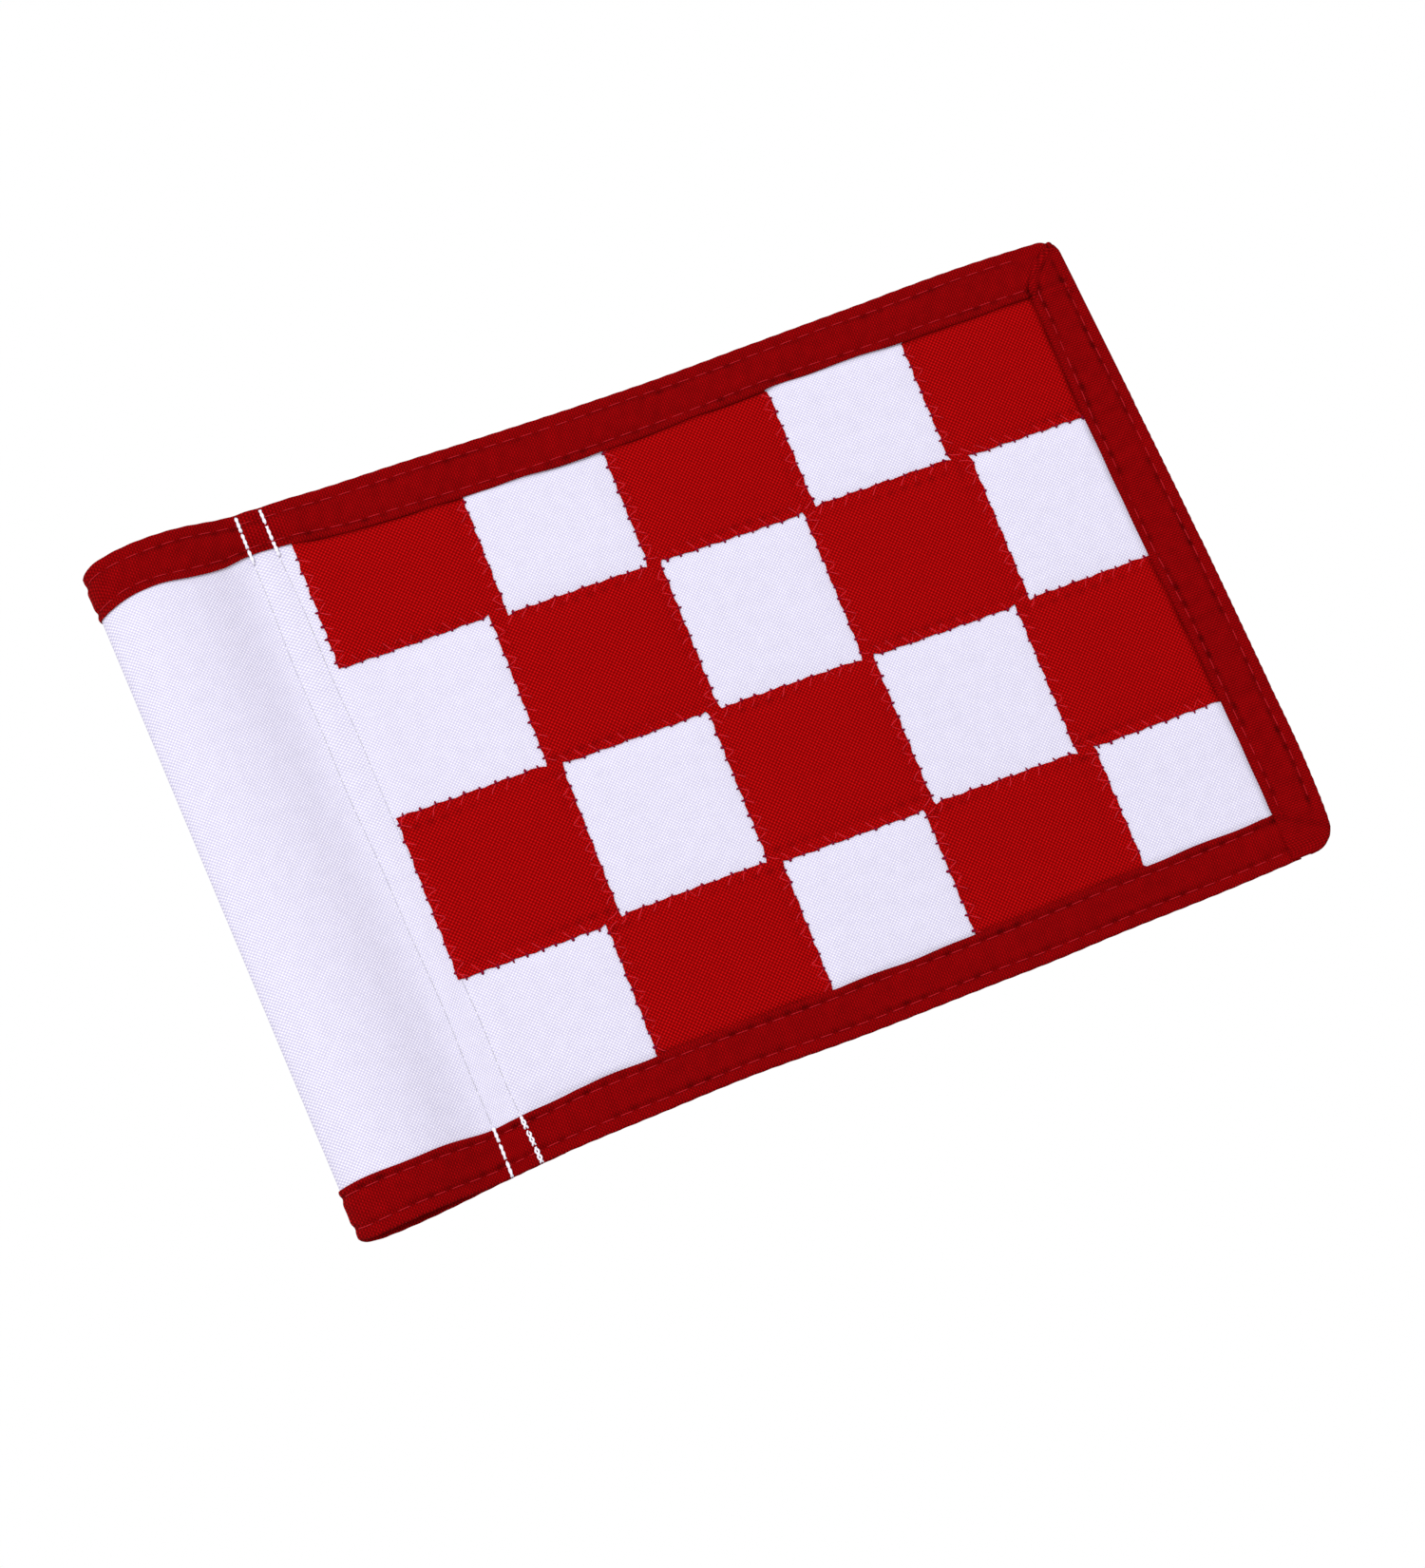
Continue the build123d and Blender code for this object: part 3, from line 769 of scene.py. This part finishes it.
def tape_profile(width, front, back):
    """Across a folded tape, from its front inner edge over the fold to its back inner edge: the
    distance in from the fold, the offset from the cloth's middle, and 1 on the front leaf or -1 on the
    back one. Each place along the tape has its own column."""
    flat = np.linspace(1, 0, 25)[:-1]
    turn = np.linspace(0, math.pi, 9)
    width, front, back = np.broadcast_arrays(width, front, back)
    radius = (front + back) / 2
    distance = np.concatenate([
        radius[:, None] + (width - radius)[:, None] * flat,
        radius[:, None] * (1 - np.sin(turn)),
        radius[:, None] + (width - radius)[:, None] * flat[::-1],
    ], 1)
    offset = np.concatenate([
        front[:, None] * np.ones(len(flat)),
        ((front - back) / 2)[:, None] + radius[:, None] * np.cos(turn),
        -back[:, None] * np.ones(len(flat)),
    ], 1)
    rows = distance.shape[1]
    side = np.where(np.arange(rows) < rows // 2, 1, -1)[:, None]
    return distance.T, offset.T, side


def band_leaves(s, top):
    """How far a band's front and back leaves stand from the cloth's middle."""
    front = FRONT_LEAF + np.where(s > 0, under_tape(x_of(s, HEIGHT if top else 0), top), 0)
    return front, np.full(np.shape(s), BACK_LEAF)


def band_width(x, top):
    return top_z(x) - top_inner_z(x) if top else bottom_inner_z(x) - bottom_z(x)


def band_height(x, distance, top):
    """The upper band turns down at its end, inside the fly tape's rounded corner."""
    into = np.clip(x - TOP_BAND_END + HIGH_CORNER, 0, HIGH_CORNER)
    drop = HIGH_CORNER - np.sqrt(HIGH_CORNER ** 2 - 0.9 * into ** 2)
    return top_z(x) - drop - distance if top else bottom_z(x) + distance


def make_band(zone, top):
    line = s_lines(*zone_ends(zone, S_BACK, s_of(TOP_BAND_END if top else FLY_X - LOW_CORNER)))
    edge = HEIGHT if top else 0
    front, back = band_leaves(line, top)
    width = band_width(x_of(line, edge), top)
    distance, offset, side = tape_profile(width, front, back)
    s = np.broadcast_to(line, distance.shape)
    dip = tape_dip(distance, s, width)
    x = x_of(s, edge)
    scallop = 0.04 * np.sin(2 * math.pi * s / BINDING_PITCH) * (1 - smooth(distance, 0, 2))
    waver = 0.15 * np.sin(s / 3.1) * smooth(distance, width - 2, width)
    z = band_height(x, distance + scallop + waver, top)
    points, _ = place(s, z, offset - side * dip)
    uv = np.stack([s, distance * side], -1)
    if not top:
        points, uv = points[::-1], uv[::-1]
    name = "top" if top else "bottom"
    # Painted shade in the furrows beside both stitch rows and along the field's groove, on the front leaf
    # only.
    furrow = (row_furrow(distance, s, OUTER_ROW, 1) + 1.2 * row_furrow(distance, s, width - INNER_ROW, 1)
              + groove(x, z)) * (side > 0)
    furrow = furrow if top else furrow[::-1]
    obj = thin_sheet(f"{name}_tape_{zone}", points, TAPE, uv, TAPE_RED, furrow)
    nodes = [f"{name}_binding_c{zone + 1}"] + ([f"sleeve_{name}_binding"] if zone == 0 else [])
    bend(obj, nodes)


def fly_leaves(z):
    """How far the fly tape's front and back leaves stand out, over the red, the white and the bands."""
    over_red = (smooth(z, LINE_Z[0] - 1, LINE_Z[0] + 0.2)
                + smooth(z, LINE_Z[2] - 1, LINE_Z[2] + 0.2) - smooth(z, LINE_Z[1] - 0.2, LINE_Z[1] + 1))
    over_band = (smooth(z, TOP_INNER - 1.2, TOP_INNER + 0.2)
                 + 1 - smooth(z, BINDING + FLY_RISE - 0.2, BINDING + FLY_RISE + 1.2))
    band = BAND_LEAF * over_band
    return FRONT_LEAF + RED_OFFSET * over_red + band, BACK_LEAF + band


def corner_furrow(x, z):
    """Where the tape is tucked to turn the lower corner, and creased below its folded upper end."""
    line = BINDING + FLY_RISE - 0.3 - 0.55 * (x - FLY_X + FLY_BINDING - 2)
    crease = TOP_INNER + 1.2 + 0.12 * (x - FLY_X + FLY_BINDING)
    return 0.13 * pulse(z, line, 0.9) + 0.16 * pulse(z, crease, 0.6) * smooth(FLY_X - x, 1.5, 3)


def make_fly_tape():
    low, high = FLY_RISE, float(top_z(FLY_X)) - 0.8
    turn = np.linspace(0, math.pi / 2, 9)
    line = np.concatenate([
        low + LOW_CORNER * (1 - np.cos(turn)),
        lines_between(low + LOW_CORNER, high - HIGH_CORNER, [])[1:],
        high - HIGH_CORNER + HIGH_CORNER * np.sin(turn)[1:],
    ])
    front, back = fly_leaves(line)
    width = np.maximum(fly_edge_x(line) - fly_inner_x(line), 1.2)
    distance, offset, side = tape_profile(width, front, back)
    z = np.broadcast_to(line, distance.shape)
    above_tuck = smooth(z, BINDING + FLY_RISE - 3, BINDING + FLY_RISE)
    dip = above_tuck * tape_dip(distance, z, width)
    scallop = 0.06 * np.sin(2 * math.pi * z / 2.05) * (1 - smooth(distance, 0, 1.6)) * (
        1 - smooth(z, LINE_Z[0], LINE_Z[0] + 12))
    x = fly_edge_x(z) - distance - scallop
    dip = np.minimum(dip + corner_furrow(x, z), DEEPEST_DIP + 0.04)
    points, _ = place(s_of(x), z, offset - side * dip)
    uv = np.stack([z, distance * side], -1)
    # Painted shade in the furrows beside the stitch rows, at the corner's tuck and crease, and along the
    # field's groove, on the front leaf only.
    furrow = 1.4 * above_tuck * (row_furrow(distance, z, OUTER_ROW, 1)
                                 + row_furrow(distance, z, width - INNER_ROW, -1))
    furrow = (furrow + 2.2 * corner_furrow(x, z) + 0.7 * groove(x, z)) * (side > 0)
    obj = thin_sheet("fly_tape", points[::-1], TAPE, uv[::-1], TAPE_RED, furrow[::-1])
    ride(obj, BODIES[-1], "fly_binding")


# -------- the stitches
def stitches(start, end, pitch, gap, steps=9, fill=False):
    """Places along each stitch of a row, and how far along it they are. To fill the row, the pitch
    gives a little."""
    number = int((end - start) / pitch)
    if fill:
        number = round((end - start) / pitch)
        pitch = (end - start) / number
    share = np.linspace(0, 1, steps)
    first = start + pitch * np.arange(number)[:, None] + gap / 2
    return first + (pitch - gap) * share, np.broadcast_to(share, (number, steps))


def arch(share, rise, sink):
    """The height of a stitch over the cloth: it rises from one needle hole and sinks to the next."""
    ends = np.abs(2 * share - 1)
    return rise * (1 - ends ** 4) - sink * ends ** 6


def zone_of(x):
    return sum((x > mid).astype(int) for mid in MIDS)


class Threads:
    """Gathers lengths of thread, then makes one piece of those in a zone."""

    def __init__(self, radius, material):
        self.radius, self.material, self.lengths = radius, material, []

    def add(self, s, z, offset, thicker=1.0):
        s, z, offset, radius = np.broadcast_arrays(s, z, offset, self.radius * np.asarray(thicker))
        self.lengths.append(np.stack([s, z, offset, radius], -1))

    def make(self, name, zone=None):
        every = np.concatenate(self.lengths)
        if zone is not None:
            half = every.shape[1] // 2
            every = every[zone_of(x_of(every[:, half, 0], every[:, half, 1])) == zone]
        return threads(name, *np.moveaxis(every, -1, 0), self.material)


def add_band_rows(rows, top):
    """Both rows of a band: outside on the sleeve and the field, on the field's back, and inside the
    sleeve's mouth."""
    ends = s_of(FLY_X) - (FLY_BINDING + 0.5 if top else 3)
    inside = 0.8 * S_CUSP
    for front, start, end in ((True, S_BACK + 1, ends), (False, s_of(ALLOWANCE_X) + 1, ends),
                              (False, -inside, inside)):
        start = math.ceil(start / BINDING_PITCH) * BINDING_PITCH
        s, share = stitches(start, end, BINDING_PITCH, BINDING_GAP)
        x = x_of(s, HEIGHT if top else 0)
        leaf = band_leaves(s, top)[0 if front else 1]
        width = band_width(x, top)
        for number, distance in enumerate((np.full(s.shape, OUTER_ROW), width - INNER_ROW)):
            wander = 0.12 * np.sin(s / 7 + 2 * number)
            lift = leaf + TAPE / 2 - tape_dip(distance, s, width) + arch(share, 0.11, 0.15)
            lift = lift + 0.04 * np.sin(s[:, :1] * 1.7 + number)
            z = band_height(x, distance + wander, top)
            chosen = s[:, 0] < end - (FLY_BINDING if not top and number else 0)
            rows.add(s[chosen], z[chosen], (lift if front else -lift)[chosen])


def add_fly_rows(rows):
    start = math.ceil((BINDING + FLY_RISE) / BINDING_PITCH) * BINDING_PITCH
    z, share = stitches(start, HEIGHT - 5, BINDING_PITCH, BINDING_GAP)
    for front in (True, False):
        leaf = fly_leaves(z)[0 if front else 1]
        width = fly_edge_x(z) - fly_inner_x(z)
        for number, distance in enumerate((np.full(z.shape, OUTER_ROW), width - INNER_ROW)):
            x = fly_edge_x(z) - distance - 0.12 * np.sin(z / 6 + number)
            lift = leaf + TAPE / 2 - tape_dip(distance, z, width) + arch(share, 0.02, 0.15)
            lift = lift + 0.09 * np.sin(z[:, :1] * 1.7 + number)
            rows.add(s_of(x), z, lift if front else -lift)


def seam_s(x, z):
    """s of a place between the sleeve's cusp and the red cloth."""
    return S_CUSP + (x - cusp_x(z)) / (RED_LEFT_X - cusp_x(z)) * (S_RED - S_CUSP)


def make_seam_row(number, row_x):
    """A row of the white thread that closes the sleeve. It stands out on the bands, where it is thick
    and two strands show, and sinks into the white cloth."""
    rows = Threads(THREAD, WHITE_THREAD)
    z, share = stitches(0.5 + 0.6 * number, HEIGHT - 0.2, SEAM_PITCH, SEAM_GAP, steps=13, fill=True)
    in_band = 1 - smooth(z, BINDING + 0.5, BINDING + 1.5) + smooth(z, TOP_INNER - 1.5, TOP_INNER)
    lift = CLOTH / 2 - 0.07 + in_band * (0.43 + TAPE / 2 - CLOTH / 2)
    lift = lift + arch(share, 0.05 + 0.15 * in_band, 0.04 + 0.08 * in_band)
    x = row_x(z) + 0.12 * np.sin(z / 5 + number)
    turn = z * 2.4 + 2 * number
    for side in (1, -1):
        for strand in (1, -1):
            apart = 0.22 * in_band * strand
            rows.add(side * seam_s(x + apart * np.sin(turn), z), z,
                     lift + 0.5 * apart * np.cos(turn), 1 + 0.9 * in_band)
    ride(rows.make(f"seam_row_{number + 1}"), BODIES[0], f"seam_stitch_row_{number + 1}")


def red_edges():
    """Each stretch of the red cloth's edge beside a white square: its start, its end and the way out."""
    low_end, high_end = BINDING + 1.0, TOP_INNER - 1.0
    out = []
    for column in range(COLUMNS):
        for row in range(ROWS):
            left = LINE_X[column] + LAP_X if column else RED_LEFT_X
            right = LINE_X[column + 1] - LAP_X if column < COLUMNS - 1 else FLY_INNER
            high = LINE_Z[row - 1] - LAP_Z if row else high_end
            low = LINE_Z[row] + LAP_Z if row < ROWS - 1 else low_end + 2
            if (column + row) % 2:
                if column:
                    out.append(((left, low), (left, high), (1, 0)))
                if column < COLUMNS - 1:
                    out.append(((right, low), (right, high), (-1, 0)))
                if row:
                    out.append(((left, high), (right, high), (0, -1)))
                if row < ROWS - 1:
                    out.append(((left, low), (right, low), (0, 1)))
            elif column == 0:
                red_high = high + 2 * LAP_Z if row else high
                out.append(((RED_LEFT_X, low - 2 * LAP_Z), (RED_LEFT_X, red_high), (-1, 0)))
    return out


def scatter(at, seed):
    """Numbers from 0 to 1 that look random and are the same in every run."""
    value = np.sin(at * 12.9898 + seed * 78.233) * 43758.5453
    return value - np.floor(value)


def zigzag_threads():
    """The zigzag that holds the red's edge: slanting legs on the red, a small loop where each pair meets
    over the edge, darker than the legs as painted shade, and the same legs on the back."""
    legs, behind = Threads(LEG, LEG_THREAD), Threads(LEG_BEHIND, RED_THREAD)
    loops = Threads(LOOP, LOOP_SHADE_THREAD)
    share = np.linspace(0, 1, 7)
    for number, (start, end, out) in enumerate(red_edges()):
        start, end, out = map(np.array, (start, end, out))
        length = np.linalg.norm(end - start)
        along = (end - start) / length
        count = max(2, round(length / ZIGZAG_PITCH))
        pitch = length / count
        at = (np.arange(count) + 0.5) * pitch
        chance = scatter(at, number)
        at = at + (chance - 0.5) * 0.6
        bite = ZIGZAG_BITE + 0.25 * np.sin(at * 2.7 + number)
        outer = start + along * at[:, None]
        sunk = 0.08 * abs(out[1])  # the stitches across the flag are drawn in tighter
        for step, loose, tight in ((-0.5, 0.12 - sunk, -0.02 - sunk), (0.5, -sunk, -0.13)):
            inner = start + along * (at + step * pitch)[:, None] - out * bite[:, None]
            path = outer[:, None] + (inner - outer)[:, None] * share[None, :, None]
            cut_x, cut_z = cut_edge(path[..., 0], path[..., 1])
            rise = tight + (loose - tight) * chance[:, None]
            legs.add(s_of(cut_x), cut_z, RED_OFFSET + CLOTH / 2 + arch(share, rise, 0.12))
            behind.add(s_of(cut_x), cut_z, -CLOTH / 2 - arch(share, 0.08, 0.12))
        slack = 0.32 + 0.15 * (1 + math.sin(2.4 * number))
        reach = np.linspace(-0.30, slack, 5)
        bulk = 0.75 + 0.5 * chance[::-1, None]
        loop = outer[:, None] + out * reach[None, :, None]
        cut_x, cut_z = cut_edge(loop[..., 0], loop[..., 1])
        lift = CLOTH / 2 - 0.02 + (RED_OFFSET + 0.02) * (1 - smooth(reach, -0.05, slack - 0.1))
        loops.add(s_of(cut_x), cut_z, lift, bulk)
    return legs, loops, behind


tape_rows = Threads(THREAD, RED_THREAD)
add_band_rows(tape_rows, True)
add_band_rows(tape_rows, False)
zigzag, loops, behind = zigzag_threads()

for zone in range(COLUMNS):
    make_white(zone)
    make_red(zone)
    make_band(zone, True)
    make_band(zone, False)
    stitch_nodes = [f"binding_stitches_c{zone + 1}"]
    if zone == 0:
        stitch_nodes += ["sleeve_bottom_binding_stitches", "sleeve_top_binding_stitches"]
    bend(tape_rows.make(f"tape_stitches_{zone}", zone), stitch_nodes)
    for lengths, name in ((zigzag, "zigzag"), (loops, "edge_loops"), (behind, "zigzag_back")):
        bend(lengths.make(f"{name}_{zone}", zone), [f"zigzag_stitches_c{zone + 1}"])

make_fly_tape()
fly_rows = Threads(THREAD, RED_THREAD)
add_fly_rows(fly_rows)
ride(fly_rows.make("fly_tape_stitches"), BODIES[-1], "fly_binding_stitches")
make_seam_row(0, row_1_x)
make_seam_row(1, row_2_x)


# -------- camera and light, in metres
FOCAL_LENGTH = 85.1  # millimetres
CAMERA_PLACE = (-0.0593, -0.7546, -0.0721)
CAMERA_TURN = (11.64, 9.98, -21.79)  # azimuth, elevation and roll, in degrees
FLAG_CENTRE = (0.1, 0, 0.075)
FLOOR_Z = -0.45
FLOOR_LOW, FLOOR_HIGH = -1.4, 1.6  # the floor's ends, along X and along Y
FLOOR_GREY = 0.55


def aim(azimuth, elevation, roll):
    azimuth, elevation, roll = map(math.radians, (azimuth, elevation, roll))
    forward = Vector((math.sin(azimuth) * math.cos(elevation),
                      math.cos(azimuth) * math.cos(elevation), math.sin(elevation)))
    level = Vector((math.cos(azimuth), -math.sin(azimuth), 0))
    right = level * math.cos(roll) + level.cross(forward) * math.sin(roll)
    return Matrix((right, right.cross(forward), -forward)).transposed()


def make_camera():
    lens = bpy.data.cameras.new("camera")
    lens.lens = FOCAL_LENGTH
    lens.sensor_width = 36
    lens.clip_start = 0.01
    camera = add_object("camera", lens)
    camera.matrix_world = Matrix.Translation(CAMERA_PLACE) @ aim(*CAMERA_TURN).to_4x4()
    bpy.context.scene.camera = camera


def make_world():
    world = bpy.data.worlds.new("studio")
    bpy.context.scene.world = world
    world.use_nodes = True
    world.node_tree.nodes["Background"].inputs["Color"].default_value = (1, 1, 1, 1)


def soft_light(name, location, size, power):
    light = bpy.data.lights.new(name, "AREA")
    light.shape = "SQUARE"
    light.size = size
    light.energy = power
    obj = add_object(name, light)
    obj.location = location
    obj.rotation_euler = (Vector(FLAG_CENTRE) - Vector(location)).to_track_quat("-Z", "Y").to_euler()
    return obj


def make_floor():
    low, high = FLOOR_LOW, FLOOR_HIGH
    corners = [(x, y, FLOOR_Z) for x, y in ((low, low), (high, low), (high, high), (low, high))]
    mesh = bpy.data.meshes.new("floor")
    mesh.from_pydata(corners, [], [(0, 1, 2, 3)])
    pale = bpy.data.materials.new("pale_floor")
    pale.use_nodes = True
    shader = pale.node_tree.nodes["Principled BSDF"]
    shader.inputs["Base Color"].default_value = (FLOOR_GREY, FLOOR_GREY, FLOOR_GREY, 1)
    shader.inputs["Roughness"].default_value = 0.9
    mesh.materials.append(pale)
    return add_object("floor", mesh)


make_camera()
make_world()
key = soft_light("key", (-0.68, -1.48, 0.90), size=0.64, power=17.0)
fill = soft_light("fill", (0.70, 0.90, 0.60), size=0.5, power=3.0)
make_floor()

bpy.context.scene.view_settings.view_transform = "Standard"
